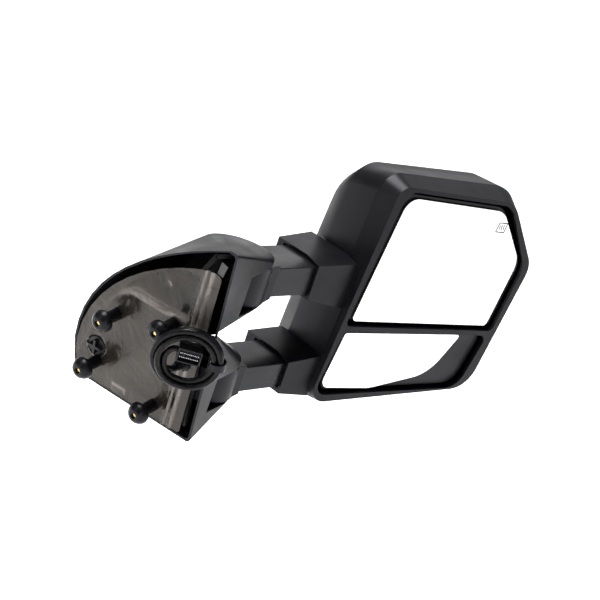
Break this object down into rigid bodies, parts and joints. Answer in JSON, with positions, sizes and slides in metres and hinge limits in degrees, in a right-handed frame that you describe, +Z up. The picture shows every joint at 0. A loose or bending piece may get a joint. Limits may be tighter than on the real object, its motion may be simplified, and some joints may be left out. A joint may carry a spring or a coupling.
{
  "type": "towing mirror",
  "caption": "Telescoping, folding towing mirror for a pickup's right-hand door, with a power-adjusted flat glass above a convex blind-spot glass.",
  "frame": {"origin": "middle of the four mounting studs, on the flat face that meets the door", "axes": "+X outboard along the two arms, +Y to the front of the vehicle, +Z up"},
  "size_m": [0.5999, 0.2269, 0.3349],
  "materials": {
    "textured_black": "fine moulded grain, semi-matt",
    "arm_black": "black powder coat, satin",
    "formed_gasket": "vacuum-formed sheet, satin grey-brown",
    "coated_aluminium": "cast, black powder coat",
    "steel": "plain",
    "yellow_zinc": "yellow zinc plated",
    "silvered_glass": "silvered",
    "inner_plastic": "plain moulded",
    "rubber": "matt",
    "heater_film": "printed film",
    "taped_cable": "wound harness tape",
    "grey_clip": "plain moulded"
  },
  "bodies": {
    "base": {"mount_bracket": "coated_aluminium", "base_gasket": "formed_gasket", "base_cover": "textured_black", "stud_1": "yellow_zinc", "stud_2": "yellow_zinc", "stud_3": "yellow_zinc", "stud_4": "yellow_zinc", "stud_cap_1": "rubber", "stud_cap_2": "rubber", "stud_cap_3": "rubber", "stud_cap_4": "rubber", "locator_peg": "inner_plastic", "harness_grommet": "rubber", "harness_cable": "taped_cable", "harness_coil": "taped_cable", "harness_tail": "taped_cable", "harness_tie": "grey_clip", "harness_connector": "inner_plastic", "upper_hinge_pin": "steel", "lower_hinge_pin": "steel", "upper_detent_plate": "steel", "lower_detent_plate": "steel", "upper_detent_spring": "steel", "lower_detent_spring": "steel"},
    "arms": {"upper_knuckle": "textured_black", "lower_knuckle": "textured_black", "upper_arm": "arm_black", "lower_arm": "arm_black", "upper_arm_stop": "steel", "lower_arm_stop": "steel"},
    "head": {"head_frame": "inner_plastic", "upper_slide_bush": "inner_plastic", "lower_slide_bush": "inner_plastic", "side_housing": "textured_black", "front_cap": "textured_black", "rear_bezel": "textured_black", "glass_actuator": "inner_plastic", "actuator_screw_1": "steel", "actuator_screw_2": "steel", "actuator_screw_3": "steel", "spotter_mount": "inner_plastic"},
    "tilt_screw": {"tilt_jackscrew": "inner_plastic"},
    "pan_screw": {"pan_jackscrew": "inner_plastic"},
    "upper_gimbal": {"upper_gimbal_ring": "inner_plastic"},
    "upper_mirror": {"upper_glass": "silvered_glass", "upper_heater_pad": "heater_film", "upper_glass_carrier": "inner_plastic"},
    "lower_gimbal": {"lower_gimbal_ring": "inner_plastic"},
    "lower_mirror": {"lower_glass": "silvered_glass", "lower_glass_carrier": "inner_plastic"}
  },
  "joints": [
    {"name": "fold", "type": "hinge", "parent": "base", "child": "arms", "pos_m": [0.088, -0.035, 0.06], "axis": [0, 0, 1], "range_deg": [-70, 40]},
    {"name": "telescope", "type": "slide", "parent": "arms", "child": "head", "axis": [1, 0, 0], "range_m": [-0.05, 0.015]},
    {"name": "upper_tilt", "type": "hinge", "parent": "head", "child": "upper_gimbal", "pos_m": [0.39536, -0.08892, 0.152], "axis": [0.9848, -0.1736, 0], "range_deg": [-7, 7]},
    {"name": "upper_pan", "type": "hinge", "parent": "upper_gimbal", "child": "upper_mirror", "pos_m": [0.39536, -0.08892, 0.152], "axis": [0, 0, 1], "range_deg": [-7, 7]},
    {"name": "tilt_drive", "type": "slide", "parent": "head", "child": "tilt_screw", "axis": [0.1736, 0.9848, 0], "range_m": [-0.0037, 0.0037]},
    {"name": "pan_drive", "type": "slide", "parent": "head", "child": "pan_screw", "axis": [0.1736, 0.9848, 0], "range_m": [-0.0037, 0.0037]},
    {"name": "lower_tilt", "type": "hinge", "parent": "head", "child": "lower_gimbal", "pos_m": [0.37712, -0.08874, 0.011], "axis": [0.9848, -0.1736, 0], "range_deg": [-3, 3]},
    {"name": "lower_pan", "type": "hinge", "parent": "lower_gimbal", "child": "lower_mirror", "pos_m": [0.37712, -0.08874, 0.011], "axis": [0, 0, 1], "range_deg": [-2.5, 2.5]}
  ],
  "couplings": [
    {"joint": "tilt_drive", "follows": "upper_tilt", "m_per_rad": 0.03},
    {"joint": "pan_drive", "follows": "upper_pan", "m_per_rad": 0.03}
  ]
}
